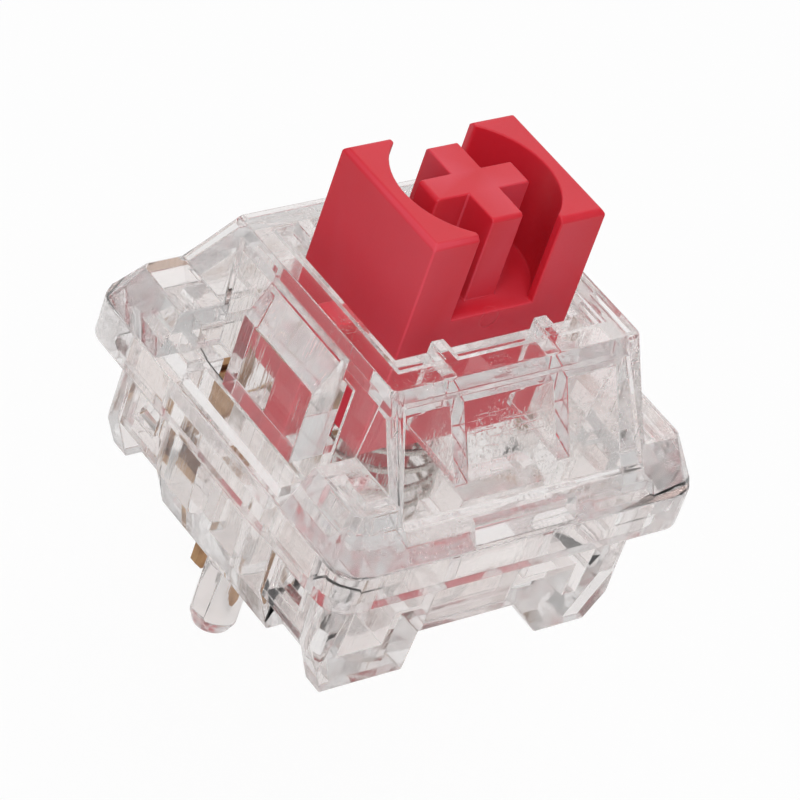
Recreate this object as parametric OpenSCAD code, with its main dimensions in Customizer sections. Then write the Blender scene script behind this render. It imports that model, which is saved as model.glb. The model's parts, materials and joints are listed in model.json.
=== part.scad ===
// Mechanical keyboard switch: clear two-part housing, walled cross stem, linear action.
// Origin on the axis of the centre post, in the plane of the circuit board it stands on.
// +Z up along the travel, +Y towards the contact pins, -Y towards the light window.

/* [Housing] */
// Width of the square flange that rests on the plate
flange_w = 15.6; // [15.2:0.1:16.4]
// Height of the plate's top face above the circuit board
plate_h = 5.0; // [4.6:0.1:5.4]
// Thickness of the lower flange
flange_t = 1.6; // [1.4:0.1:1.8]
// Height of the upper housing's corner blocks above the flange
skirt_h = 1.8; // [1.5:0.1:2.1]
// Height of the roof above the corner blocks, to the top of the rim
roof_h = 3.4; // [3.2:0.1:3.8]
// Width of the body where it passes through the plate
body_w = 13.9; // [13.7:0.1:14.0]
// Width of the body at the circuit board
body_foot_w = 13.3; // [13.0:0.1:13.6]
// Thickness of the moulded walls
wall = 1.0; // [0.8:0.1:1.1]
// Width of the rim across the contact direction
rim_x = 10.7; // [10.4:0.1:11.2]
// Depth of the rim along the contact direction
rim_y = 9.4; // [9.0:0.1:9.8]

/* [Stem] */
// Width of the stem block
stem_x = 7.36; // [7.0:0.02:7.5]
// Depth of the stem block
stem_y = 5.5; // [5.4:0.1:5.7]
// Height of the stem above the rim at rest
stem_rise = 4.2; // [4.1:0.1:4.6]
// Radius of the round well between the stem's side walls
well_r = 3.0; // [2.9:0.05:3.1]
// Width of the open slot at the front and back of the well
slot_w = 3.5; // [3.2:0.1:3.7]
// Length of each bar of the cross
cross_len = 4.0; // [3.9:0.05:4.1]
// Thickness of the bar that runs left to right
cross_bar_x = 1.1; // [1.0:0.05:1.2]
// Thickness of the bar that runs front to back
cross_bar_y = 1.3; // [1.2:0.05:1.4]
// Full travel of the stem
travel = 4.0; // [3.6:0.1:4.0]

/* [Fixings] */
// Diameter of the centre post
post_d = 4.0; // [3.9:0.05:4.0]
// Length of the centre post below the circuit board's top
post_len = 3.3; // [3.1:0.1:3.5]
// Diameter of the two side pegs
peg_d = 1.7; // [1.6:0.05:1.75]
// Length of the side pegs
peg_len = 3.05; // [2.9:0.05:3.1]
// Distance of each side peg from the centre post
peg_x = 5.08; // [5.0:0.01:5.12]
// Length of the contact pins below the circuit board's top
pin_len = 2.9; // [2.7:0.1:3.1]
// Pitch of the grid that the contact pins stand on
pin_grid = 1.27; // [1.25:0.01:1.29]

/* [Spring and contacts] */
// Wire diameter of the return spring
wire_d = 0.24; // [0.2:0.01:0.28]
// Mean radius of the return spring
coil_r = 2.0; // [1.95:0.01:2.05]
// Number of turns in the return spring
coil_turns = 11; // [9:1:12]
// Thickness of the terminal strip
strip_t = 0.3; // [0.25:0.05:0.35]
// Thickness of the moving blade
blade_t = 0.1; // [0.08:0.01:0.12]
// Gap between the contact points at rest
contact_gap = 0.55; // [0.5:0.05:0.6]

/* [Hidden] */
$fn = 48;
eps = 0.02;          // overlap that makes a cut pass a face
slide_gap = 0.12;    // clearance of a sliding face
seat_gap = 0.03;     // clearance of a seated face
far = 40;            // longer than the part, for cuts that pass right through

// Heights
split_z = plate_h + flange_t;
ridge_z = split_z + skirt_h;
rim_z = ridge_z + roof_h;
deck_z = rim_z - 0.5;             // floor inside the rim
deck_under_z = deck_z - 0.9;
stem_top_z = rim_z + stem_rise;
cross_top_z = stem_top_z - 0.1;
floor_top_z = 1.2;

// Lower body: half width at a height, and the narrowest half width of the room inside
function body_half(z) = (body_foot_w + (body_w - body_foot_w) * z / plate_h) / 2;
inner_half = min(body_w, body_foot_w) / 2 - wall;
body_corner_r = 1.3;
flange_lip = 0.7;                 // bar left outside the pockets in the flange
pocket_depth = 1.0;
side_edge_cut = 0.8;              // slope along the lower edges of the left and right sides
leg_edge_cut = 1.5;               // the same below the legs
edge_slope = 2.2;                 // height of that slope for each mm of width

// Upper housing: its front and back lean in evenly from the flange to the rim. At the sides the
// roof is upright, between four corner blocks with a level top.
function face_y(z) = flange_w / 2 - (flange_w - rim_y) / 2 * (z - split_z) / (rim_z - split_z);
corner_r = 1.0;
ridge_x = flange_w / 2 - 0.75;
ridge_y = face_y(ridge_z);
roof_in_x = ridge_x - 0.2 - wall; // inner half width of the corner blocks
roof_in_y = ridge_y - wall;
end_wall = 0.6;                   // upright wall at the left and right ends of the roof
skirt_corner = flange_w / 2 * sqrt(2) - corner_r * (sqrt(2) - 1) - 0.05; // half diagonal
corner_lean = 1.0;                // how far the skirt's corners lean in on the diagonal
rim_w = 0.9;
front_rib_x = 1.95;
back_rib_x = 2.95;
rib_w = 0.55;

// Side recesses of the upper housing, one on each X side
recess_half_y = 3.9;              // at the flange
recess_top_y = 4.3;               // just under the rim
recess_depth = 0.25;              // depth in the roof's upright end
recess_floor_x = rim_x / 2 - recess_depth;
recess_top_z = deck_z - 0.1;
panel_x = rim_x / 2 + 0.85;       // flat panel that stands in the recess
panel_half_y = 2.1;
panel_slot_w = 0.6;
panel_rise = 1.3;
panel_bend_z = ridge_z + panel_rise;
face_sink = 0.35;                 // depth of the sunk front and back faces
sink_low_x = rim_x / 2 - 0.1;
sink_high_x = rim_x / 2 - 0.5;
window_half_x = 2.2;
window_h = 0.8;
window_web = 0.2;                 // wall left behind the foot of the window
side_pocket_depth = 0.15;
side_pocket_x = 3.0;
side_pocket_w = 2.6;

// Stem block and well
well_floor_z = rim_z + 0.6;
stem_edge = 0.16;                 // chamfer on the stem's top edges
skirt_bottom_z = split_z + 0.3;
shoulder_z = deck_under_z - 0.05; // top of the rails, which stop under the deck
spring_well_r = coil_r + 0.4;
spring_roof_z = shoulder_z - 0.8;
pole_r = 1.0;
pole_bottom_z = 3.0;
rail_x = stem_x / 2 + 0.9;
rail_w = 1.2;
rail_root = 0.6;                  // reach of the rail into the stem's wall
rail_bottom_z = 5.5;

// Guides in the lower housing
guide_half_y = 1.6;
guide_out_x = inner_half + 0.05;
guide_top_z = split_z - 0.1;
tube_r = 1.6;
tube_bore_r = pole_r + 0.1;
tube_top_z = 3.6;
cup_in_r = coil_r + 0.45;
cup_out_r = cup_in_r + 0.5;
cup_top_z = 2.6;
bore_end_z = -post_len + 1.0;

// Spring between the floor of the cup and the roof of the stem's well
spring_low_z = floor_top_z + seat_gap;
spring_high_z = spring_roof_z - seat_gap;

// Room for a light below the window
guide_bite = 0.25;                // depth of the light guide's seat in the front wall
guide_d = 1.5;
notch_back = 0.3;
notch_z = 1.9;
notch_left_x = -2.3;
notch_right_x = 1.95;
notch_flare = 1.7;
notch_roof_z = notch_z + 0.9;
guide_w = 3.6;
guide_ledge = 0.45;               // reach of the light guide's flange
guide_ledge_t = 0.6;
guide_rise = 0.4;
guide_drop = 1.1;
guide_seat_z = plate_h + guide_rise;
guide_lens_z = ridge_z - guide_drop;
guide_lens_r = 1.6;
guide_lens_rise = 1.2;            // height of the lens above the block's straight part
guide_y0 = -min(inner_half + guide_bite, face_y(guide_lens_z) - wall - slide_gap);
guide_y1 = guide_y0 + guide_d;
notch_y = guide_y1 + notch_back;

// Clip legs of the upper housing, outside the lower body, and the teeth that they snap over
leg_bottom_z = 1.9;
leg_t = 0.65;
leg_w = 2.35;
leg_out_x = min(body_half(leg_bottom_z), body_half(plate_h)) - 0.04;
leg_in_x = leg_out_x - leg_t;
leg_y1 = leg_out_x - 0.97;
leg_y0 = leg_y1 - leg_w;
leg_gap = 0.06;
leg_root_z = split_z + 0.4;
leg_root_w = 1.2;
leg_root_in = 0.3;
leg_bar = 0.8;                    // height of the bar that closes the leg's loop below
leg_side = 0.55;                  // width of the loop's two sides
tooth_z = leg_bottom_z + leg_bar + 0.05;
tooth_h = 0.95;
tooth_out = 0.45;
tooth_lip = 0.25;
pad_t = 0.7;

// Contacts
pin_w = 1.0;
moving_pin = [-3 * pin_grid, 2 * pin_grid];
fixed_pin = [2 * pin_grid, 4 * pin_grid];
foot_t = strip_t;
foot_z = floor_top_z + seat_gap;
point_r = 0.45;
point_t = 0.25;
moving_point_t = 0.15;
blade_seat = 0.07;                // gap between the blade and the terminal that carries it

// The contacts stand one behind the other between the stem and the back wall
contact_stack = strip_t + point_t + contact_gap + moving_point_t + blade_t + blade_seat + strip_t;
contact_room = inner_half - stem_y / 2;
fixed_plate_y = stem_y / 2 + 0.466 * (contact_room - contact_stack);
fixed_plate_half_x = 0.8;
contact_z = split_z;
fixed_face_y = fixed_plate_y + strip_t + point_t;
blade_y = fixed_face_y + contact_gap + moving_point_t;
terminal_y = blade_y + blade_t + blade_seat;
terminal_drop = 1.9;
terminal_top_z = contact_z - terminal_drop;

// Moving blade: a foot, a band across and two arms joined by a bar that carries the point
blade_low_z = floor_top_z + 0.9;
blade_high_z = contact_z + 0.6;
blade_x0 = moving_pin[0] - 0.59;
blade_x1 = 2.8;
blade_foot_w = 1.5;
blade_foot_h = 2.4;
blade_band = 1.2;
blade_roll_r = 0.1;               // rolled lower edge, on whose axis the blade turns
arm_x = 2.2;
arm_w = 0.9;
bump_out = 0.3;

// Legs of the stem that hold the blade back
closing = contact_gap - 0.09;     // swing of the points over the full travel
cam_w = 1.0;
cam_face_y = blade_y - bump_out - 0.1;
cam_bottom_z = contact_z - 0.6;

// Solid of the profile in the Y-Z plane, centred across X
module along_x(profile, length) {
    rotate([90, 0, 90])
        linear_extrude(height = length, center = true)
            polygon(profile);
}

// Solid of the profile in the X-Z plane, centred across Y
module along_y(profile, length) {
    rotate([90, 0, 0])
        linear_extrude(height = length, center = true)
            polygon(profile);
}

function trapezoid(half0, half1, z0, z1) = [[-half0, z0], [half0, z0], [half1, z1], [-half1, z1]];

// Four-sided block whose sides lean in evenly
module tapered_block(x0, x1, y0, y1, z0, z1) {
    intersection() {
        along_y(trapezoid(x0, x1, z0, z1), far);
        along_x(trapezoid(y0, y1, z0, z1), far);
    }
}

module box(x0, x1, y0, y1, z0, z1) {
    translate([x0, y0, z0])
        cube([x1 - x0, y1 - y0, z1 - z0]);
}

// Flat plate with round corners
module round_plate(w, d, r, z0, z1) {
    translate([0, 0, z0])
        linear_extrude(height = z1 - z0) {
            square([w - 2 * r, d], center = true);
            square([w, d - 2 * r], center = true);
            for (sx = [-1, 1], sy = [-1, 1])
                translate([sx * (w / 2 - r), sy * (d / 2 - r)])
                    circle(r);
        }
}

// The same thing on the left and on the right
module both_x() {
    children();
    mirror([1, 0, 0])
        children();
}

module both_y() {
    children();
    mirror([0, 1, 0])
        children();
}

// Lower body with leaning sides and round corners, or the room inside it
module body_shell(inset, r, z0, z1) {
    top = body_half(z1) - inset;
    foot = body_half(z0) - inset;
    intersection() {
        tapered_block(foot, top, foot, top, z0, z1);
        round_plate(2 * max(top, foot), 2 * max(top, foot), r, z0, z1);
    }
}

module fixing_peg(d, length, dome) {
    rotate_extrude() {
        polygon([
            [0, 0], [d / 2, 0], [d / 2, -length + dome],
            [d / 2 - dome * 0.3, -length + dome * 0.3], [d / 2 - dome, -length], [0, -length]
        ]);
    }
}

module light_notch() {
    rotate([90, 0, 0])
        translate([0, 0, -notch_y])
            linear_extrude(height = far)
                polygon([
                    [notch_left_x, -eps], [notch_right_x + notch_flare, -eps],
                    [notch_right_x, notch_z], [notch_left_x, notch_z]
                ]);
}

module bottom_housing() {
    color([0.93, 0.88, 0.89, 0.35]) {
        difference() {
            union() {
                // flange, open for the upper housing's legs
                difference() {
                    round_plate(flange_w, flange_w, corner_r, plate_h, split_z);
                    round_plate(
                        body_w - 2 * wall, body_w - 2 * wall, corner_r, plate_h - eps, split_z + eps
                    );
                }
                // walls and floor
                difference() {
                    body_shell(0, body_corner_r, 0, plate_h + eps);
                    body_shell(wall, body_corner_r - wall, floor_top_z, plate_h + 2 * eps);
                }
                // roof of the room for the light
                intersection() {
                    body_shell(0, body_corner_r, 0, plate_h + eps);
                    box(
                        notch_left_x - wall, notch_right_x + notch_flare + wall,
                        -far, notch_y + wall, 0, notch_roof_z
                    );
                }
                both_x() {
                    rail_guide();
                    both_y()
                        leg_pad();
                }
                // ledges that the light guide's flange rests on
                both_x()
                    box(
                        guide_w / 2 + seat_gap, guide_w / 2 + guide_ledge,
                        guide_y0, guide_y1, notch_z, guide_seat_z - seat_gap
                    );
                // spring cup and guide tube
                translate([0, 0, floor_top_z - eps])
                    cylinder(r = cup_out_r, h = cup_top_z - floor_top_z + eps);
                fixing_peg(post_d, post_len, 0.3);
                both_x()
                    translate([peg_x, 0, 0])
                        fixing_peg(peg_d, peg_len, 0.5);
            }
            both_x() {
                // groove for the rail
                box(
                    stem_x / 2, rail_x + slide_gap,
                    -rail_w / 2 - slide_gap, rail_w / 2 + slide_gap, floor_top_z, far
                );
                // pocket in the flange below the side recess
                box(
                    body_w / 2 - 0.7, flange_w / 2 - flange_lip,
                    -leg_y0 + 0.4, leg_y0 - 0.4, split_z - pocket_depth, far
                );
                lower_edge_cuts();
                both_y()
                    leg_channel();
            }
            // ring-shaped well for the spring round the guide tube
            difference() {
                translate([0, 0, floor_top_z])
                    cylinder(r = cup_in_r, h = far);
                translate([0, 0, -eps])
                    cylinder(r = tube_r, h = tube_top_z + eps);
            }
            // bore for the stem's pole
            translate([0, 0, bore_end_z])
                cylinder(r = tube_bore_r, h = far);
            light_notch();
            // opening that holds the light guide
            box(
                -guide_w / 2 - seat_gap, guide_w / 2 + seat_gap,
                guide_y0 - seat_gap, guide_y1 + seat_gap, 0, far
            );
            pin_slot(moving_pin);
            pin_slot(fixed_pin);
            fixed_terminal_room();
        }
        both_x()
            both_y()
                leg_tooth();
    }
}

// Block beside the side wall that the stem's rail slides in, once it is grooved
module rail_guide() {
    box(
        stem_x / 2 + slide_gap, guide_out_x,
        -guide_half_y, guide_half_y, floor_top_z - eps, guide_top_z
    );
    box(
        guide_out_x - eps, inner_half + 0.2,
        -guide_half_y, guide_half_y, floor_top_z - eps, plate_h
    );
}

// Thick piece of wall behind a clip leg
module leg_pad() {
    pad_x = max(leg_in_x - leg_gap - pad_t, slide_gap - blade_x0);
    box(pad_x, leg_in_x, leg_y0 - 0.2, leg_y1 + 0.2, 0, split_z);
}

// Room for the fixed terminal's foot and plate, clear of the spring cup and the back wall
module fixed_terminal_room() {
    box(
        -fixed_plate_half_x - seat_gap, fixed_pin[0] + pin_w / 2 + seat_gap,
        fixed_plate_y - seat_gap, fixed_pin[1] + strip_t / 2 + seat_gap,
        floor_top_z, foot_z + foot_t + seat_gap
    );
    box(
        -fixed_plate_half_x - seat_gap, fixed_plate_half_x + seat_gap,
        fixed_plate_y - seat_gap, fixed_plate_y + strip_t + seat_gap, floor_top_z, far
    );
}

// Open channel down the outside of the body for a clip leg, and its way through the flange
module leg_channel() {
    box(leg_in_x - leg_gap, far, leg_y0 - leg_gap, leg_y1 + leg_gap, -eps, plate_h);
    box(
        leg_in_x - leg_gap, leg_out_x + leg_gap,
        leg_y0 - leg_gap, leg_y1 + leg_gap, -eps, split_z + eps
    );
}

// Slope along the lower edge of a side, deeper below the legs
module lower_edge_cuts() {
    edge_cut(side_edge_cut, -far / 2, far / 2);
    both_y()
        edge_cut(leg_edge_cut, leg_y0 - eps, leg_y1 + leg_gap);
}

module edge_cut(width, y0, y1) {
    half = body_foot_w / 2;
    translate([0, (y0 + y1) / 2, 0])
        along_y([[half + 1, -eps], [half - width, -eps], [half + 1, edge_slope * (width + 1)]], y1 - y0);
}

// Wedge that a clip leg's loop snaps over
module leg_tooth() {
    root_x = leg_in_x - leg_gap - eps;
    tip_x = leg_in_x + tooth_out;
    translate([0, (leg_y0 + leg_y1) / 2, tooth_z])
        along_y(
            [[root_x, 0], [tip_x, 0], [tip_x, tooth_lip], [root_x, tooth_h]],
            leg_w - 2 * leg_side - 2 * leg_gap
        );
}

// Slot through the floor for a contact pin
module pin_slot(at) {
    translate([at[0], at[1], floor_top_z / 2])
        cube([pin_w + 2 * seat_gap, strip_t + 2 * seat_gap, far], center = true);
}

module top_shell_outer() {
    corner_high = skirt_corner - corner_lean * (rim_z - split_z) / skirt_h;
    intersection() {
        union() {
            along_y(trapezoid(flange_w / 2, ridge_x, split_z, ridge_z), far);
            box(-rim_x / 2, rim_x / 2, -far / 2, far / 2, split_z, rim_z);
        }
        along_x(trapezoid(flange_w / 2, rim_y / 2, split_z, rim_z), far);
        round_plate(flange_w, flange_w, corner_r, split_z, rim_z);
        // corners of the skirt lean in along the diagonals
        rotate([0, 0, 45])
            tapered_block(skirt_corner, corner_high, skirt_corner, corner_high, split_z, rim_z);
    }
}

// Room inside the roof, and small rooms inside the four corner blocks
module top_shell_inner() {
    in_x = max(rim_x / 2 - end_wall, rail_x + slide_gap);
    along_x(
        trapezoid(
            face_y(split_z - eps) - wall, face_y(deck_under_z) - wall, split_z - eps, deck_under_z
        ),
        2 * in_x
    );
    both_x()
        both_y()
            box(
                in_x - eps, roof_in_x,
                recess_half_y + end_wall, roof_in_y, split_z - eps, ridge_z - wall
            );
}

// Recess in a side of the upper housing, wider towards the rim
module side_recess() {
    intersection() {
        along_x(trapezoid(recess_half_y, recess_top_y, split_z - eps, recess_top_z), far);
        box(recess_floor_x, far, -far, far, split_z - eps, far);
    }
}

// Panel that stands in the recess, upright below and leaning in to the rim above
module side_panel() {
    along_y([
        [recess_floor_x - eps, split_z], [panel_x, split_z], [panel_x, panel_bend_z],
        [rim_x / 2, recess_top_z + eps], [recess_floor_x - eps, recess_top_z + eps]
    ], 2 * panel_half_y);
}

// Slots through the upright wall on both sides of the panel
module panel_slots() {
    both_y()
        box(
            0, recess_floor_x + eps,
            panel_half_y, panel_half_y + panel_slot_w, split_z - eps, deck_under_z - 0.3
        );
}

// Shallow field sunk into the sloping front and back faces, between the corner pillars
module sunk_face() {
    intersection() {
        along_y(trapezoid(sink_low_x, sink_high_x, split_z + 1.1, rim_z - 0.6), far);
        along_x([
            [-far, split_z], [-flange_w / 2 + face_sink, split_z],
            [-rim_y / 2 + face_sink, rim_z], [-far, rim_z]
        ], far);
    }
}

// Leg with a loop at its end, hanging from the skirt
module clip_leg() {
    difference() {
        union() {
            box(leg_in_x, leg_out_x, leg_y0, leg_y1, leg_bottom_z, split_z + eps);
            // root that reaches into the corner block's outer wall
            box(
                leg_in_x, max(leg_out_x, roof_in_x + leg_root_in),
                leg_y1 - leg_root_w, leg_y1, split_z, leg_root_z
            );
        }
        box(
            0, far, leg_y0 + leg_side, leg_y1 - leg_side,
            leg_bottom_z + leg_bar, tooth_z + tooth_h + leg_gap
        );
    }
}

module top_housing() {
    color([0.95, 0.90, 0.91, 0.35]) {
        difference() {
            union() {
                difference() {
                    top_shell_outer();
                    top_shell_inner();
                    // sunk deck inside the rim
                    box(
                        -rim_x / 2 + rim_w, rim_x / 2 - rim_w,
                        -rim_y / 2 + rim_w, rim_y / 2 - rim_w, deck_z, far
                    );
                    both_x() {
                        side_recess();
                        panel_slots();
                    }
                }
                both_x()
                    side_panel();
                // guide ribs in front of and behind the stem
                intersection() {
                    top_shell_outer();
                    both_x() {
                        box(front_rib_x, front_rib_x + rib_w, -far, 0, ridge_z - 0.4, rim_z);
                        box(back_rib_x, back_rib_x + rib_w, 0, far, ridge_z - 0.4, rim_z);
                    }
                }
            }
            // opening for the stem
            box(
                -stem_x / 2 - slide_gap, stem_x / 2 + slide_gap,
                -stem_y / 2 - slide_gap, stem_y / 2 + slide_gap, split_z - eps, far
            );
            both_y()
                sunk_face();
            front_window();
        }
        both_x()
            both_y()
                clip_leg();
    }
}

// Window sunk into the foot of the front face, and a small pocket beside it
module front_window() {
    pocket_high_z = split_z + window_h - 0.1;
    box(
        -window_half_x, window_half_x, -far, -face_y(split_z) + wall - window_web,
        split_z - eps, split_z + window_h
    );
    box(
        side_pocket_x, side_pocket_x + side_pocket_w, -far, -face_y(pocket_high_z) + side_pocket_depth,
        split_z + 0.2, pocket_high_z
    );
}

module stem_block() {
    intersection() {
        along_y([
            [-stem_x / 2, skirt_bottom_z], [stem_x / 2, skirt_bottom_z],
            [stem_x / 2, stem_top_z - stem_edge], [stem_x / 2 - stem_edge, stem_top_z],
            [-stem_x / 2 + stem_edge, stem_top_z], [-stem_x / 2, stem_top_z - stem_edge]
        ], far);
        along_x([
            [-stem_y / 2, skirt_bottom_z], [stem_y / 2, skirt_bottom_z],
            [stem_y / 2, stem_top_z - stem_edge], [stem_y / 2 - stem_edge, stem_top_z],
            [-stem_y / 2 + stem_edge, stem_top_z], [-stem_y / 2, stem_top_z - stem_edge]
        ], far);
    }
}

// Two crossed bars that carry the keycap, with their top edges cut
module cross() {
    cut_h = cross_len / 4;
    rise = cross_top_z - well_floor_z;
    cross_bars(rise - 0.1);
    intersection() {
        cross_bars(rise);
        tapered_block(
            cross_len / 2 - 0.1 + cut_h, cross_len / 2 - 0.1,
            cross_len / 2 - 0.1 + cut_h, cross_len / 2 - 0.1, cross_top_z - cut_h, cross_top_z
        );
    }
}

module cross_bars(rise) {
    translate([-cross_len / 2, -cross_bar_x / 2, well_floor_z - eps])
        cube([cross_len, cross_bar_x, rise + eps]);
    translate([-cross_bar_y / 2, -cross_len / 2, well_floor_z - eps])
        cube([cross_bar_y, cross_len, rise + eps]);
}

// Leg that holds the moving blade off the fixed contact until the stem goes down
module cam_leg() {
    slope = closing / travel;
    translate([arm_x, 0, 0])
        along_x([
            [stem_y / 2 - eps, cam_bottom_z + 0.5], [stem_y / 2 + 0.4, cam_bottom_z],
            [cam_face_y - 0.2, cam_bottom_z], [cam_face_y, contact_z - 0.3], [cam_face_y, contact_z],
            [cam_face_y - slope * (shoulder_z - contact_z), shoulder_z], [stem_y / 2 - eps, shoulder_z]
        ], cam_w);
}

module stem() {
    color([0.86, 0.16, 0.22]) {
        difference() {
            stem_block();
            translate([0, 0, well_floor_z])
                cylinder(r = well_r, h = far, $fn = 96);
            box(-slot_w / 2, slot_w / 2, -far, far, well_floor_z, far);
            // well for the spring, open below
            cylinder(r = spring_well_r, h = spring_roof_z);
        }
        cross();
        translate([0, 0, pole_bottom_z])
            cylinder(r = pole_r, h = spring_roof_z - pole_bottom_z + eps);
        both_x() {
            box(stem_x / 2 - rail_root, rail_x, -rail_w / 2, rail_w / 2, rail_bottom_z, shoulder_z);
            cam_leg();
        }
    }
}

// Height of the wire's middle after a share of the spring's turns, with a closed turn at each end
function coil_z(turn, turns, low, high, wire) =
    let (
        closed = wire * 1.03,
        pitch = (high - low - wire - 2 * closed) / (turns - 2)
    )
    low + wire / 2 + (turn < 1 ? turn * closed
        : turn > turns - 1 ? closed + (turns - 2) * pitch + (turn - turns + 1) * closed
        : closed + (turn - 1) * pitch);

module coil(turns, low, high, radius, wire) {
    sides = 8;
    per_turn = 20;
    rings = turns * per_turn;
    points = [
        for (i = [0 : rings], k = [0 : sides - 1])
            let (
                a = 360 * i / per_turn,
                b = 360 * k / sides,
                r = radius + wire / 2 * cos(b)
            )
            [r * cos(a), r * sin(a), coil_z(i / per_turn, turns, low, high, wire) + wire / 2 * sin(b)]
    ];
    sides_faces = [
        for (i = [0 : rings - 1], k = [0 : sides - 1])
            let (n = (k + 1) % sides)
            [i * sides + k, i * sides + n, (i + 1) * sides + n, (i + 1) * sides + k]
    ];
    first = [[for (k = [sides - 1 : -1 : 0]) k]];
    last = [[for (k = [0 : sides - 1]) rings * sides + k]];
    polyhedron(points = points, faces = concat(sides_faces, first, last), convexity = 10);
}

module return_spring() {
    color([0.78, 0.76, 0.72])
        coil(coil_turns, spring_low_z, spring_high_z, coil_r, wire_d);
}

// Block that carries light from the board to the window, with a flange and a round top
module light_guide() {
    block_top_z = guide_lens_z - guide_ledge_t;
    color([0.97, 0.95, 0.95, 0.35]) {
        box(-guide_w / 2, guide_w / 2, guide_y0, guide_y1, notch_z, block_top_z);
        box(
            -guide_w / 2 - guide_ledge, guide_w / 2 + guide_ledge,
            guide_y0, guide_y1, guide_seat_z, guide_seat_z + guide_ledge_t
        );
        intersection() {
            translate([0, (guide_y0 + guide_y1) / 2, guide_lens_z - guide_lens_r])
                rotate([0, 90, 0])
                    cylinder(r = guide_lens_r, h = guide_w, center = true);
            box(-guide_w / 2, guide_w / 2, guide_y0, guide_y1, guide_lens_z - guide_lens_rise, far);
        }
    }
}

// Flat pin with a pointed tip
module contact_pin(at, top_z) {
    tip = 0.35;
    translate([at[0], at[1], 0])
        along_y([
            [-pin_w / 2, top_z], [-pin_w / 2, -pin_len + tip], [-pin_w / 2 + tip, -pin_len],
            [pin_w / 2 - tip, -pin_len], [pin_w / 2, -pin_len + tip], [pin_w / 2, top_z]
        ], strip_t);
}

module fixed_terminal() {
    color([0.72, 0.50, 0.30]) {
        contact_pin(fixed_pin, foot_z + foot_t);
        // foot from the pin to the plate
        box(
            fixed_pin[0] - pin_w / 2, fixed_pin[0] + pin_w / 2,
            fixed_plate_y, fixed_pin[1] + strip_t / 2, foot_z, foot_z + foot_t
        );
        box(
            -fixed_plate_half_x, fixed_pin[0] + pin_w / 2,
            fixed_plate_y, fixed_plate_y + 2 * strip_t, foot_z, foot_z + foot_t
        );
        // plate that carries the point
        box(
            -fixed_plate_half_x, fixed_plate_half_x,
            fixed_plate_y, fixed_plate_y + strip_t, foot_z, blade_high_z + 0.1
        );
    }
}

module fixed_contact_point() {
    color([0.90, 0.74, 0.36])
        translate([0, fixed_face_y, contact_z])
            rotate([90, 0, 0])
                cylinder(r = point_r, h = point_t);
}

module moving_terminal() {
    color([0.72, 0.50, 0.30]) {
        contact_pin(moving_pin, foot_z + foot_t);
        box(
            moving_pin[0] - pin_w / 2, moving_pin[0] + pin_w / 2,
            moving_pin[1] - strip_t / 2, terminal_y + strip_t, foot_z, foot_z + foot_t
        );
        // upright plate behind the blade's foot
        box(
            blade_x0, blade_x0 + blade_foot_w,
            terminal_y, terminal_y + strip_t, foot_z, terminal_top_z
        );
    }
}

module contact_blade() {
    color([0.82, 0.60, 0.36]) {
        translate([0, blade_y, 0]) {
            box(blade_x0, blade_x1, 0, blade_t, blade_low_z, blade_low_z + blade_band);
            box(blade_x0, blade_x0 + blade_foot_w, 0, blade_t, blade_low_z, blade_low_z + blade_foot_h);
            // rolled lower edge
            translate([blade_x0, blade_t / 2, blade_low_z])
                rotate([0, 90, 0])
                    cylinder(r = blade_roll_r, h = blade_x1 - blade_x0);
            both_x() {
                box(arm_x - arm_w / 2, arm_x + arm_w / 2, 0, blade_t, blade_low_z, blade_high_z);
                // round bump that the stem's leg holds back
                translate([arm_x, blade_t, contact_z])
                    intersection() {
                        rotate([0, 90, 0])
                            cylinder(r = bump_out + blade_t, h = arm_w, center = true);
                        box(-far, far, -bump_out - 2 * blade_t, 0, -far, far);
                    }
            }
            box(-arm_x, arm_x, 0, blade_t, 2 * contact_z - blade_high_z, blade_high_z);
        }
    }
}

module moving_contact_point() {
    color([0.90, 0.74, 0.36])
        translate([0, blade_y, contact_z])
            rotate([90, 0, 0])
                cylinder(r = point_r, h = moving_point_t);
}

bottom_housing();
top_housing();
stem();
return_spring();
light_guide();
fixed_terminal();
fixed_contact_point();
moving_terminal();
contact_blade();
moving_contact_point();
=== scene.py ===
# %% [markdown]
# # A clear keyboard switch, finished for a product picture
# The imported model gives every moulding, spring and contact at its real place. This lesson dresses
# them: rounded moulding edges, clear plastic that bends light, satin red plastic, bright wire and
# bronze strip. It ends with a plain white studio.
#
# The model is in metres, so a switch is a very small thing here. The helper MM keeps the numbers
# readable, because every size of a real switch is known in millimetres.

# %% Load the fixed model
import json
import math

import bmesh
import bpy
from mathutils import Matrix, Vector
from mathutils.bvhtree import BVHTree

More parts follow.
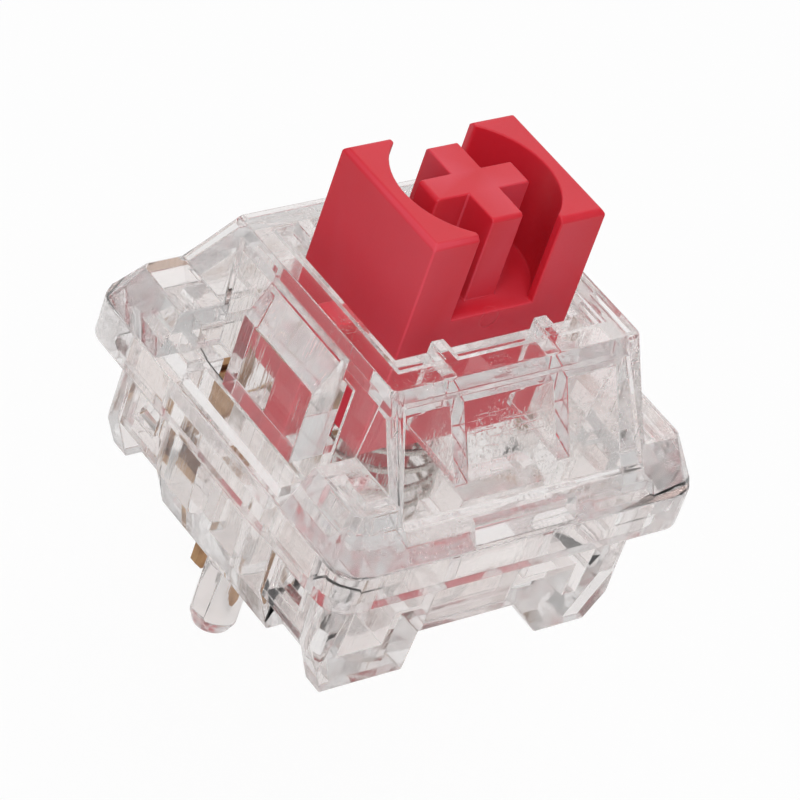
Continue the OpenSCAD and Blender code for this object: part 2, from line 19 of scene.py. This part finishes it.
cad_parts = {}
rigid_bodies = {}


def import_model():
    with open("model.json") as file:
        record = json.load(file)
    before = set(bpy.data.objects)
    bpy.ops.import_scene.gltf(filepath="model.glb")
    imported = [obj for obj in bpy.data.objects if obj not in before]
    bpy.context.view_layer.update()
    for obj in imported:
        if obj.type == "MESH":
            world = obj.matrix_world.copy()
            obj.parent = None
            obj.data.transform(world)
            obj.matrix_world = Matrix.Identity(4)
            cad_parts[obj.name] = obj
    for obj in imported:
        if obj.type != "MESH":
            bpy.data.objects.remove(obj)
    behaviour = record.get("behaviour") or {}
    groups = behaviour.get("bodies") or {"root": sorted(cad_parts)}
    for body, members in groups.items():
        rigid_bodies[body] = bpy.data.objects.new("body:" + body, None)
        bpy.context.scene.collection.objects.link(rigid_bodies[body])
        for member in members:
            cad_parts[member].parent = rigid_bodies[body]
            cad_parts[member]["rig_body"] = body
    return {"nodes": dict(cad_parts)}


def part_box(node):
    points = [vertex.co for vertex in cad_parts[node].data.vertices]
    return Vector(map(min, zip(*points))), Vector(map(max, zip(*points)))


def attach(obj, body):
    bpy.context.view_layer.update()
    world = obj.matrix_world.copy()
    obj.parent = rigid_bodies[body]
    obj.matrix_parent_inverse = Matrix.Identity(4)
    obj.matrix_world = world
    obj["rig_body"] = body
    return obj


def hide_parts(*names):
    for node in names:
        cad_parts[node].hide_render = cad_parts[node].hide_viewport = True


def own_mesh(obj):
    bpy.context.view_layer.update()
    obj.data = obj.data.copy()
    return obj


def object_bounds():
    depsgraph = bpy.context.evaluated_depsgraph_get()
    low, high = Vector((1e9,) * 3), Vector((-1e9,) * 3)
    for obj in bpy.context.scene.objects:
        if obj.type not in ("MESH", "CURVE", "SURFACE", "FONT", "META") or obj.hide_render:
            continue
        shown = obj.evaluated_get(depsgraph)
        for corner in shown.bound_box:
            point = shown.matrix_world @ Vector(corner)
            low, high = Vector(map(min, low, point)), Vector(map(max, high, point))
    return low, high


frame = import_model()
cad_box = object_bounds()
MM = 0.001
size_mm = [round((high - low) / MM, 2) for low, high in zip(*cad_box)]
print("model size in mm:", size_mm)

# %% [markdown]
# The size note is written here, with the model's own box.


# %% [markdown]
# The camera comes first, because every choice of edge width and light is judged through it. A long
# lens far from a small object keeps the flange's edges nearly parallel. The camera leans to one
# side by about twenty degrees, which makes the switch look as if it is tumbling.

# %% Camera
CAMERA_PLACE = Vector((-96.5, -87.9, 105.1)) * MM
CAMERA_AIM = Vector((0.3, 0.05, 6.0)) * MM
CAMERA_LEAN = math.radians(20.1)
CAMERA_LENS = 213.3


def make_camera():
    data = bpy.data.cameras.new("camera")
    data.lens = CAMERA_LENS
    data.clip_start = 1 * MM
    data.clip_end = 10
    camera = bpy.data.objects.new("camera", data)
    bpy.context.scene.collection.objects.link(camera)
    look = (CAMERA_AIM - CAMERA_PLACE).to_track_quat("-Z", "Y").to_matrix()
    lean = Matrix.Rotation(CAMERA_LEAN, 3, "Z")
    camera.matrix_world = Matrix.Translation(CAMERA_PLACE) @ (look @ lean).to_4x4()
    bpy.context.scene.camera = camera


make_camera()
print("camera distance in mm:", round((CAMERA_AIM - CAMERA_PLACE).length / MM, 1))

# %% [markdown]
# A moulded edge is never knife sharp. The mould is cut with a round tool and polished, so each edge
# carries a radius of a few hundredths of a millimetre, and on clear plastic that radius is what
# draws the bright line round every face. A Bevel modifier could do this, but it would also bevel the
# hundreds of short edges along the round posts. So the edges are chosen by their angle in a copy of
# the mesh, and only the sharp ones are rounded.
#
# A bevel may throw a corner point far away where many thin faces meet. Each new point is therefore
# held against the true shape: one that strays further than half the radius is put back on it.

# %% Helper for rounded copies of the mouldings
SHARP_ANGLE = math.radians(24)
FLAT_ANGLE = math.radians(0.6)
WELD = 0.0005 * MM


def sharp_edges(bm, wanted=None):
    return [
        edge for edge in bm.edges
        if len(edge.link_faces) == 2 and edge.calc_face_angle() > SHARP_ANGLE
        and (wanted is None or wanted(edge))
    ]


def round_edges(bm, edges, radius, steps):
    true_shape = BVHTree.FromBMesh(bm)
    bmesh.ops.bevel(
        bm, geom=edges, offset=radius, offset_type="OFFSET", segments=steps, profile=0.6,
        affect="EDGES", clamp_overlap=False, material=-1,
    )
    strays = 0
    for vert in bm.verts:
        near, normal, face, gap = true_shape.find_nearest(vert.co)
        if gap > 0.45 * radius:
            vert.co = near
            strays += 1
    return strays


def moulded_copy(node, name, radius, steps=2, lift_z=None, soft=None, soft_radius=0.0):
    source = frame["nodes"][node]
    bm = bmesh.new()
    bm.from_mesh(source.data)
    bmesh.ops.remove_doubles(bm, verts=bm.verts, dist=WELD)
    if lift_z is not None:
        for vert in bm.verts:
            if abs(vert.co.z - lift_z) < 0.001 * MM:
                vert.co.z += 0.02 * MM
    bmesh.ops.dissolve_limit(bm, angle_limit=FLAT_ANGLE, verts=bm.verts, edges=bm.edges)
    if soft is not None:
        softened = sharp_edges(bm, soft)
        put_back = round_edges(bm, softened, soft_radius, 4)
        print(name, "softer corners:", len(softened), "put back:", put_back)
    edges = sharp_edges(bm)
    strays = round_edges(bm, edges, radius, steps)
    mesh = bpy.data.meshes.new(name)
    bm.to_mesh(mesh)
    bm.free()
    mesh.polygons.foreach_set("use_smooth", [True] * len(mesh.polygons))
    piece = bpy.data.objects.new(name, mesh)
    bpy.context.scene.collection.objects.link(piece)
    normals = piece.modifiers.new("even faces", "WEIGHTED_NORMAL")
    normals.mode = "FACE_AREA_WITH_ANGLE"
    normals.weight = 50
    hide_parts(node)
    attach(piece, source["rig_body"])
    print(name, "faces:", len(mesh.polygons), "rounded edges:", len(edges), "put back:", strays)
    return piece


# %% [markdown]
# The lower shell is one clear moulding: flange, walls, feet, pegs, the centre post and the cup that
# the spring stands in. It is the piece that light crosses most often, so its rounding stays small.

# %% Lower shell
lower_shell = moulded_copy("bottom_housing", "lower_shell", 0.06 * MM)

# %% [markdown]
# The upper shell rests on the lower one. On the real switch a breath of air stays between the two
# faces, and without it a renderer can't tell which of two faces in one plane comes first and paints
# the flange black. The lowest face of the cover is lifted by two hundredths of a millimetre.
#
# The four corners of the rim look rounder than the rest in the photograph. They are picked by their
# place and softened first.

# %% Upper shell
RIM_HALF_X = 5.35 * MM
RIM_Z = 11.8 * MM


def is_rim_corner(edge):
    first, second = edge.verts
    run = second.co - first.co
    tall = abs(run.z) > 2.5 * MM
    at_end = all(abs(abs(vert.co.x) - RIM_HALF_X) < 0.01 * MM for vert in edge.verts)
    to_rim = max(first.co.z, second.co.z) > RIM_Z - 0.01 * MM
    return tall and at_end and to_rim


upper_shell = moulded_copy(
    "top_housing", "upper_shell", 0.06 * MM, lift_z=6.6 * MM, soft=is_rim_corner, soft_radius=0.2 * MM
)

# %% [markdown]
# The light guide is a loose clear block behind the window. It carries the light of a lamp on the
# circuit board up to the keycap, and its flange shows through the front as a T.

# %% Light guide
window_lens = moulded_copy("light_guide", "window_lens", 0.05 * MM)

# %% [markdown]
# The stem is moulded in a tough, slightly waxy red plastic. It slides, so its edges are eased a
# little more than those of the shells.

# %% Stem
sliding_stem = moulded_copy("stem", "sliding_stem", 0.07 * MM, steps=3)

# %% [markdown]
# The return spring is wound from bright wire. The model's spring has eight flat sides, which is
# plenty for its weight and reach but shows through clear plastic. So it is wound again here with
# the same radius, wire and number of turns, and with many more points. The first and last turns
# lie closed, as they do on a real spring, so that it stands level.

# %% Return spring
SPRING_TURNS = 11
STEPS_PER_TURN = 48
WIRE_SIDES = 14
spring_low, spring_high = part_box("return_spring")
SPRING_LENGTH = spring_high[2] - spring_low[2]
WIRE_D = 0.24 * MM
COIL_R = spring_high[0] - WIRE_D / 2


def wire_height(turn):
    closed = WIRE_D * 1.03
    pitch = (SPRING_LENGTH - WIRE_D - 2 * closed) / (SPRING_TURNS - 2)
    start = spring_low[2] + WIRE_D / 2
    if turn < 1:
        return start + turn * closed
    if turn > SPRING_TURNS - 1:
        return start + closed + (SPRING_TURNS - 2) * pitch + (turn - SPRING_TURNS + 1) * closed
    return start + closed + (turn - 1) * pitch


def wind_spring():
    bm = bmesh.new()
    rings = []
    for step in range(SPRING_TURNS * STEPS_PER_TURN + 1):
        turn = step / STEPS_PER_TURN
        angle = 2 * math.pi * turn
        ring = []
        for side in range(WIRE_SIDES):
            around = 2 * math.pi * side / WIRE_SIDES
            reach = COIL_R + WIRE_D / 2 * math.cos(around)
            ring.append(bm.verts.new((
                reach * math.cos(angle), reach * math.sin(angle),
                wire_height(turn) + WIRE_D / 2 * math.sin(around),
            )))
        rings.append(ring)
    for ring, after in zip(rings, rings[1:]):
        for side in range(WIRE_SIDES):
            right = (side + 1) % WIRE_SIDES
            bm.faces.new((ring[side], ring[right], after[right], after[side]))
    bm.faces.new(rings[0])
    bm.faces.new(list(reversed(rings[-1])))
    bmesh.ops.recalc_face_normals(bm, faces=bm.faces)
    mesh = bpy.data.meshes.new("coiled_wire")
    bm.to_mesh(mesh)
    bm.free()
    mesh.polygons.foreach_set("use_smooth", [len(face.vertices) == 4 for face in mesh.polygons])
    spring = bpy.data.objects.new("coiled_wire", mesh)
    bpy.context.scene.collection.objects.link(spring)
    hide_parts("return_spring")
    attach(spring, "housing")
    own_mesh(spring)
    print("spring length in mm:", round(SPRING_LENGTH / MM, 2), "faces:", len(mesh.polygons))
    return spring


coiled_wire = wind_spring()

# %% [markdown]
# The stamped strips keep their own meshes, which are true to the tool that cuts them. A stamped
# edge is rolled over on one side, so each gets a narrow Bevel modifier. Here the modifier is the
# right way, because a strip has only a few long edges.

# %% Stamped strips
STAMPED_ROLL_MM = {"fixed_terminal": 0.03, "moving_terminal": 0.03, "contact_blade": 0.012}
STAMPED_ANGLE = math.radians(40)

for node, roll_mm in STAMPED_ROLL_MM.items():
    roll = frame["nodes"][node].modifiers.new("rolled edge", "BEVEL")
    roll.width = roll_mm * MM
    roll.segments = 2
    roll.limit_method = "ANGLE"
    roll.angle_limit = STAMPED_ANGLE
    print(node, "edges rolled by mm:", roll_mm)


# %% [markdown]
# ## Materials
# Four effects return in several finishes, so each is made once as a group of nodes and placed in
# every material with its own numbers. A group holds only patterns: it puts out heights, masks and
# colours, and the shader stays in the material.

# %% Helpers for node groups and materials
def new_group(name, inputs, outputs):
    group = bpy.data.node_groups.new(name, "ShaderNodeTree")
    for label, value in inputs.items():
        socket = group.interface.new_socket(name=label, in_out="INPUT", socket_type="NodeSocketFloat")
        socket.default_value = value
    for label in outputs:
        group.interface.new_socket(name=label, in_out="OUTPUT", socket_type="NodeSocketFloat")
    start = group.nodes.new("NodeGroupInput")
    end = group.nodes.new("NodeGroupOutput")
    return group, start, end


def math_node(tree, operation, first, second=None, third=None, clamp=False):
    node = tree.nodes.new("ShaderNodeMath")
    node.operation = operation
    node.use_clamp = clamp
    for slot, value in enumerate((first, second, third)):
        if value is None:
            continue
        if isinstance(value, (int, float)):
            node.inputs[slot].default_value = value
        else:
            tree.links.new(value, node.inputs[slot])
    return node.outputs[0]


def stretched_place(tree, place, stretch, turn=(0, 0, 0)):
    mapping = tree.nodes.new("ShaderNodeMapping")
    mapping.inputs["Scale"].default_value = stretch
    mapping.inputs["Rotation"].default_value = turn
    tree.links.new(place, mapping.inputs["Vector"])
    return mapping.outputs[0]


def noise(tree, place, scale, detail=2.0, rough=0.5):
    node = tree.nodes.new("ShaderNodeTexNoise")
    node.inputs["Detail"].default_value = detail
    node.inputs["Roughness"].default_value = rough
    tree.links.new(place, node.inputs["Vector"])
    if isinstance(scale, (int, float)):
        node.inputs["Scale"].default_value = scale
    else:
        tree.links.new(scale, node.inputs["Scale"])
    return node.outputs[0]


def place_in_mm(tree):
    coordinate = tree.nodes.new("ShaderNodeTexCoord")
    scale = tree.nodes.new("ShaderNodeVectorMath")
    scale.operation = "SCALE"
    scale.inputs["Scale"].default_value = 1000
    tree.links.new(coordinate.outputs["Object"], scale.inputs[0])
    return scale.outputs[0]


# %% [markdown]
# The first group is what the mould leaves behind. Molten plastic cools from the walls inwards and
# the faces sink a little, in slow waves a few millimetres long. On red plastic this is hardly seen,
# but clear plastic turns it into the wandering light inside the switch.

# %% Mould waves
def make_mould_waves():
    group, start, end = new_group(
        "mould waves", {"Waves per mm": 0.35, "Grain per mm": 6}, ("Waves", "Grain")
    )
    place = place_in_mm(group)
    group.links.new(noise(group, place, start.outputs["Waves per mm"], 1.5, 0.45), end.inputs["Waves"])
    group.links.new(noise(group, place, start.outputs["Grain per mm"], 4, 0.6), end.inputs["Grain"])
    return group


mould_waves = make_mould_waves()

# %% [markdown]
# The second group is handling. A switch that has lain in a tray with others carries hair-fine
# scratches, mostly along its panels. Noise that is stretched thirty times in one direction gives
# the streaks, and a second, slow noise decides where there are any.

# %% Fine scratches
def make_fine_scratches():
    group, start, end = new_group("fine scratches", {"Amount": 1}, ("Scratch",))
    place = place_in_mm(group)
    along = noise(group, stretched_place(group, place, (0.4, 9, 0.4), (0.2, 0.3, 0.1)), 1.4, 3, 0.6)
    down = noise(group, stretched_place(group, place, (9, 9, 0.35), (0.1, 0.0, 0.5)), 1.2, 3, 0.6)
    where = noise(group, place, 0.45, 1)
    thin_along = math_node(group, "MULTIPLY", math_node(group, "SUBTRACT", along, 0.60), 9, clamp=True)
    thin_down = math_node(group, "MULTIPLY", math_node(group, "SUBTRACT", down, 0.58), 9, clamp=True)
    patch = math_node(group, "MULTIPLY", math_node(group, "SUBTRACT", where, 0.46), 7, clamp=True)
    both = math_node(group, "MAXIMUM", thin_along, thin_down)
    some = math_node(group, "MULTIPLY", both, patch)
    group.links.new(math_node(group, "MULTIPLY", some, start.outputs["Amount"]), end.inputs["Scratch"])
    return group


fine_scratches = make_fine_scratches()

# %% [markdown]
# The third group is painted edge shine: a mask that is one on edges that stand out. Where it is used,
# it paints a paler colour that stands in for light on the edges. The Geometry node's
# Pointiness finds them, because it compares the direction of neighbouring faces.

# %% Painted edge light mask
def make_painted_edge_light_mask():
    group, start, end = new_group("painted edge light mask", {"Sharpness": 12}, ("Painted edge light",))
    geometry = group.nodes.new("ShaderNodeNewGeometry")
    out = math_node(group, "SUBTRACT", geometry.outputs["Pointiness"], 0.52)
    group.links.new(
        math_node(group, "MULTIPLY", out, start.outputs["Sharpness"], clamp=True), end.inputs["Painted edge light"]
    )
    return group


painted_edge_light_mask = make_painted_edge_light_mask()

# %% [markdown]
# The fourth group is drawn metal: the lines that rolling and drawing leave along strip and wire.

# %% Drawn lines
def make_drawn_lines():
    group, start, end = new_group("drawn lines", {"Lines per mm": 9}, ("Lines", "Stain"))
    place = place_in_mm(group)
    lines = noise(group, stretched_place(group, place, (1, 1, 0.06)), start.outputs["Lines per mm"], 3, 0.7)
    group.links.new(lines, end.inputs["Lines"])
    group.links.new(noise(group, place, 1.1, 3, 0.6), end.inputs["Stain"])
    return group


drawn_lines = make_drawn_lines()


# %% Helper for a material with its groups
def new_material(name):
    material = bpy.data.materials.new(name)
    material.use_nodes = True
    tree = material.node_tree
    return material, tree, tree.nodes["Principled BSDF"]


def placed(tree, group, **values):
    node = tree.nodes.new("ShaderNodeGroup")
    node.node_tree = group
    for label, value in values.items():
        node.inputs[label.replace("_", " ")].default_value = value
    return node.outputs


def spread(tree, value, low, high):
    node = tree.nodes.new("ShaderNodeMapRange")
    node.inputs["From Min"].default_value = 0.3
    node.inputs["From Max"].default_value = 0.7
    node.inputs["To Min"].default_value = low
    node.inputs["To Max"].default_value = high
    tree.links.new(value, node.inputs["Value"])
    return node.outputs[0]


def between(tree, share, first, second):
    node = tree.nodes.new("ShaderNodeMix")
    node.data_type = "RGBA"
    node.inputs["A"].default_value = (*first, 1)
    if isinstance(second, tuple):
        node.inputs["B"].default_value = (*second, 1)
    else:
        tree.links.new(second, node.inputs["B"])
    tree.links.new(share, node.inputs["Factor"])
    return node.outputs["Result"]


def bump(tree, bsdf, height, distance):
    node = tree.nodes.new("ShaderNodeBump")
    node.inputs["Distance"].default_value = distance
    tree.links.new(height, node.inputs["Height"])
    tree.links.new(node.outputs["Normal"], bsdf.inputs["Normal"])


# %% [markdown]
# The shells are moulded in clear plastic with a faint warm tint. Three things make it look real.
# Light bends on its way in and out, which the index of refraction gives. A very small part of it
# scatters, so the transmission stays a little under one. Every face adds its share of that milky
# light, and a view of the stem crosses four faces or more, so even a few hundredths too much would
# turn the deep red behind the shells pink. And the faces wander, which the mould waves do through
# a Bump node.
#
# Light has to come through the shells to the stem, or the stem would sit in a dark box. A true
# path through two walls is rarely found by the renderer, so for shadow rays the plastic is swapped
# for a plain transparent shader.

# %% Clear plastic
CLEAR_IOR = 1.49
CLEAR_TRANSMISSION = 0.985
CLEAR_WAVE_DEPTH = 0.05 * MM
CLEAR_SHADOW = (0.95, 0.93, 0.925, 1)


def clear_plastic(name, waves, scratch):
    material, tree, bsdf = new_material(name)
    moulding = placed(tree, mould_waves, Waves_per_mm=waves, Grain_per_mm=5)
    marks = placed(tree, fine_scratches, Amount=scratch)
    tint = between(tree, moulding["Grain"], (1.0, 0.972, 0.968), (0.985, 0.980, 0.972))
    tree.links.new(tint, bsdf.inputs["Base Color"])
    haze = spread(tree, moulding["Grain"], 0.02, 0.07)
    rough = math_node(tree, "MULTIPLY_ADD", marks["Scratch"], 0.3, haze)
    tree.links.new(rough, bsdf.inputs["Roughness"])
    bsdf.inputs["IOR"].default_value = CLEAR_IOR
    bsdf.inputs["Transmission Weight"].default_value = CLEAR_TRANSMISSION
    height = math_node(tree, "MULTIPLY_ADD", marks["Scratch"], 0.12, moulding["Waves"])
    bump(tree, bsdf, height, CLEAR_WAVE_DEPTH)
    path = tree.nodes.new("ShaderNodeLightPath")
    through = tree.nodes.new("ShaderNodeBsdfTransparent")
    through.inputs["Color"].default_value = CLEAR_SHADOW
    swap = tree.nodes.new("ShaderNodeMixShader")
    tree.links.new(path.outputs["Is Shadow Ray"], swap.inputs["Fac"])
    tree.links.new(bsdf.outputs["BSDF"], swap.inputs[1])
    tree.links.new(through.outputs["BSDF"], swap.inputs[2])
    tree.links.new(swap.outputs[0], tree.nodes["Material Output"].inputs["Surface"])
    return material


def dress(piece, material):
    piece.data.materials.clear()
    piece.data.materials.append(material)


base_plastic = clear_plastic("clear base plastic", 0.35, 0.6)
cover_plastic = clear_plastic("clear cover plastic", 0.30, 1.0)
lens_plastic = clear_plastic("clear lens plastic", 0.5, 0.3)
dress(lower_shell, base_plastic)
dress(upper_shell, cover_plastic)
dress(window_lens, lens_plastic)

# %% [markdown]
# The stem is a satin, waxy red plastic. Its faces are not even: the flow of the melt leaves slow
# clouds. Its edges are painted a shade paler. This painted highlight stands in for the light that comes
# through the thin plastic there. Real light within the plastic is what Subsurface gives: red travels just
# under a millimetre in it and the other colours about a tenth of that. Under the slot is the small round
# mark of the pin that pushed it out of the mould.

# %% Red plastic
EJECTOR_MARK_MM = (0.0, -2.75, 12.1)
EJECTOR_RADIUS_MM = 0.38
EJECTOR_LINE_MM = 0.07
RED_REACH = 0.8 * MM
RED_GRAIN_DEPTH = 0.03 * MM


def ring_mark(tree, centre, radius, width):
    apart = tree.nodes.new("ShaderNodeVectorMath")
    apart.operation = "DISTANCE"
    tree.links.new(place_in_mm(tree), apart.inputs[0])
    apart.inputs[1].default_value = centre
    off = math_node(tree, "ABSOLUTE", math_node(tree, "SUBTRACT", apart.outputs["Value"], radius))
    return math_node(tree, "SUBTRACT", 1, math_node(tree, "DIVIDE", off, width, clamp=True), clamp=True)


def red_plastic(name):
    material, tree, bsdf = new_material(name)
    moulding = placed(tree, mould_waves, Waves_per_mm=0.5, Grain_per_mm=14)
    marks = placed(tree, fine_scratches, Amount=0.5)
    # Painted edge highlight: on edges the mask lifts the red toward a paler pink, which stands in for light
    # along them.
    edge = placed(tree, painted_edge_light_mask, Sharpness=5)["Painted edge light"]
    clouds = between(tree, moulding["Waves"], (0.555, 0.014, 0.028), (0.605, 0.022, 0.040))
    red_with_painted_edge_light = between(tree, math_node(tree, "MULTIPLY", edge, 0.35), (0, 0, 0), (0.74, 0.13, 0.18))
    mixer = red_with_painted_edge_light.node
    tree.links.new(clouds, mixer.inputs["A"])
    tree.links.new(red_with_painted_edge_light, bsdf.inputs["Base Color"])
    rough = math_node(
        tree, "MULTIPLY_ADD", marks["Scratch"], 0.12, spread(tree, moulding["Grain"], 0.34, 0.44)
    )
    tree.links.new(rough, bsdf.inputs["Roughness"])
    bsdf.inputs["Specular IOR Level"].default_value = 0.25
    bsdf.inputs["Subsurface Weight"].default_value = 0.3
    bsdf.inputs["Subsurface Radius"].default_value = (1.0, 0.10, 0.12)
    bsdf.inputs["Subsurface Scale"].default_value = RED_REACH
    ring = ring_mark(tree, EJECTOR_MARK_MM, EJECTOR_RADIUS_MM, EJECTOR_LINE_MM)
    grain = math_node(tree, "MULTIPLY", moulding["Grain"], 0.12)
    height = math_node(tree, "MULTIPLY_ADD", moulding["Waves"], 0.6, grain)
    bump(tree, bsdf, math_node(tree, "MULTIPLY_ADD", ring, -0.5, height), RED_GRAIN_DEPTH)
    return material


dress(sliding_stem, red_plastic("satin red plastic"))


# %% [markdown]
# The contact strips are bronze, which goes brown and patchy where fingers and heat touch it. The
# spring is bright steel and the contact points carry a thin gold layer. All three share the drawn
# lines, at different widths.

# %% Metals
def drawn_metal(name, pale, dark, rough, lines_per_mm):
    material, tree, bsdf = new_material(name)
    drawn = placed(tree, drawn_lines, Lines_per_mm=lines_per_mm)
    stain = spread(tree, drawn["Stain"], 0, 1)
    tree.links.new(between(tree, stain, pale, dark), bsdf.inputs["Base Color"])
    bsdf.inputs["Metallic"].default_value = 1
    tree.links.new(spread(tree, drawn["Lines"], rough - 0.08, rough + 0.12), bsdf.inputs["Roughness"])
    bump(tree, bsdf, drawn["Lines"], 0.004 * MM)
    return material


strip_bronze = drawn_metal("strip bronze", (0.60, 0.38, 0.20), (0.38, 0.22, 0.12), 0.34, 9)
blade_bronze = drawn_metal("blade bronze", (0.66, 0.43, 0.23), (0.50, 0.30, 0.16), 0.28, 12)
spring_steel = drawn_metal("spring steel", (0.74, 0.72, 0.68), (0.60, 0.58, 0.55), 0.24, 14)
point_gold = drawn_metal("contact gold", (0.86, 0.66, 0.28), (0.74, 0.52, 0.20), 0.24, 7)
for node in ("fixed_terminal", "moving_terminal"):
    dress(frame["nodes"][node], strip_bronze)
dress(frame["nodes"]["contact_blade"], blade_bronze)
dress(coiled_wire, spring_steel)
for node in ("fixed_contact_point", "moving_contact_point"):
    dress(frame["nodes"][node], point_gold)


# %% [markdown]
# ## The studio
# The photograph is a cut-out on pure white. A white floor that is only lit would come out grey, so
# the floor also glows at strength one. For rays straight from the camera nearly all of it is glow,
# and the rest is paper, which keeps the soft shadow of the switch. For rays that come through the
# plastic under a third is glow, because the clear walls would vanish against pure white. All other
# light meets plain paper.

# %% Floor
GLOW_TO_CAMERA = 0.93
GLOW_THROUGH_PLASTIC = 0.3
FLOOR_HALF = 2.0


def add_floor():
    half, z = FLOOR_HALF, cad_box[0].z
    mesh = bpy.data.meshes.new("floor")
    corners = [(-half, -half, z), (half, -half, z), (half, half, z), (-half, half, z)]
    mesh.from_pydata(corners, [], [(0, 1, 2, 3)])
    floor = bpy.data.objects.new("floor", mesh)
    bpy.context.scene.collection.objects.link(floor)
    material, tree, bsdf = new_material("white floor")
    paper = noise(tree, place_in_mm(tree), 0.8, 3)
    tree.links.new(between(tree, paper, (0.71, 0.71, 0.71), (0.73, 0.73, 0.73)), bsdf.inputs["Base Color"])
    bsdf.inputs["Roughness"].default_value = 0.9
    glow = tree.nodes.new("ShaderNodeEmission")
    glow.inputs["Color"].default_value = (1, 1, 1, 1)
    mix = tree.nodes.new("ShaderNodeMixShader")
    path = tree.nodes.new("ShaderNodeLightPath")
    through = math_node(tree, "MULTIPLY", path.outputs["Is Transmission Ray"], GLOW_THROUGH_PLASTIC)
    share = math_node(tree, "MULTIPLY_ADD", path.outputs["Is Camera Ray"], GLOW_TO_CAMERA, through)
    tree.links.new(share, mix.inputs["Fac"])
    tree.links.new(bsdf.outputs["BSDF"], mix.inputs[1])
    tree.links.new(glow.outputs["Emission"], mix.inputs[2])
    tree.links.new(mix.outputs[0], tree.nodes["Material Output"].inputs["Surface"])
    mesh.materials.append(material)


add_floor()

# %% [markdown]
# Clear plastic has no look of its own: it shows the room. In an even white room it would vanish, so
# this room is mid grey at the floor and grows lighter towards the ceiling. A dark card stands low
# on the camera's side, outside the picture, and puts a soft grey patch into the right front corner.
# It does little more: the thin dark lines at the corners come from the plastic's own faces.

# %% World and card
ROOM_LOW, ROOM_HIGH = 0.28, 0.62
ROOM_FADE = (-0.1, 0.7)


def make_world():
    world = bpy.data.worlds.new("studio")
    world.use_nodes = True
    bpy.context.scene.world = world
    tree = world.node_tree
    background = tree.nodes["Background"]
    path = tree.nodes.new("ShaderNodeLightPath")
    shade = tree.nodes.new("ShaderNodeMix")
    shade.data_type = "RGBA"
    sky = tree.nodes.new("ShaderNodeTexCoord")
    split = tree.nodes.new("ShaderNodeSeparateXYZ")
    tree.links.new(sky.outputs["Generated"], split.inputs[0])
    ramp = tree.nodes.new("ShaderNodeMapRange")
    ramp.interpolation_type = "SMOOTHSTEP"
    ramp.inputs["From Min"].default_value = ROOM_FADE[0]
    ramp.inputs["From Max"].default_value = ROOM_FADE[1]
    ramp.inputs["To Min"].default_value = ROOM_LOW
    ramp.inputs["To Max"].default_value = ROOM_HIGH
    tree.links.new(split.outputs["Z"], ramp.inputs["Value"])
    tree.links.new(ramp.outputs[0], shade.inputs["A"])
    shade.inputs["B"].default_value = (1, 1, 1, 1)
    tree.links.new(path.outputs["Is Camera Ray"], shade.inputs["Factor"])
    tree.links.new(shade.outputs["Result"], background.inputs["Color"])
    background.inputs["Strength"].default_value = 1


make_world()


def add_card(name, centre, facing, width, height, grey):
    mesh = bpy.data.meshes.new(name)
    w, h = width / 2, height / 2
    mesh.from_pydata([(-w, -h, 0), (w, -h, 0), (w, h, 0), (-w, h, 0)], [], [(0, 1, 2, 3)])
    card = bpy.data.objects.new(name, mesh)
    bpy.context.scene.collection.objects.link(card)
    card.location = centre
    card.rotation_mode = "QUATERNION"
    card.rotation_quaternion = (Vector(facing) - Vector(centre)).to_track_quat("Z", "Y")
    card.visible_camera = False
    card.visible_shadow = False
    card.visible_diffuse = False
    material, tree, bsdf = new_material(name)
    bsdf.inputs["Base Color"].default_value = (grey, grey, grey, 1)
    bsdf.inputs["Roughness"].default_value = 0.9
    mesh.materials.append(material)


add_card("dark card", (-45 * MM, -55 * MM, 5 * MM), (0, 0, 5 * MM), 140 * MM, 30 * MM, 0.02)


# %% [markdown]
# One large soft lamp stands at the front left, a wider one at the right rear. Together with the
# world they light the stem at a plain level, so its red comes out about as it is written. Seen
# through the plastic, a lamp would burn a white patch into the side panel, so both are hidden from
# refracted rays.

# %% Lamps
LAMP_AIM = Vector((0, 0, 0.008))


def area_lamp(name, place, side, watts):
    data = bpy.data.lights.new(name, "AREA")
    data.shape = "RECTANGLE"
    data.size = data.size_y = side
    data.energy = watts
    lamp = bpy.data.objects.new(name, data)
    bpy.context.scene.collection.objects.link(lamp)
    lamp.location = place
    lamp.rotation_mode = "QUATERNION"
    lamp.rotation_quaternion = (LAMP_AIM - Vector(place)).to_track_quat("-Z", "Y")
    lamp.visible_transmission = False
    print(name, "lamp:", watts, "W,", side, "m wide")


area_lamp("key", (-0.17, -0.16, 0.30), 0.20, 0.68)
area_lamp("back", (0.20, 0.20, 0.24), 0.42, 0.5)

# %% [markdown]
# Light crosses many faces in a clear box inside a clear box. A path that runs out of bounces ends
# in black, so the count is raised well above Blender's usual twelve. The view stays on Standard,
# which shows colours as they are written.

# %% View settings
BOUNCES = {
    "max_bounces": 48, "transmission_bounces": 44, "glossy_bounces": 24, "transparent_max_bounces": 20
}
scene = bpy.context.scene
scene.view_settings.view_transform = "Standard"
for kind, count in BOUNCES.items():
    setattr(scene.cycles, kind, count)

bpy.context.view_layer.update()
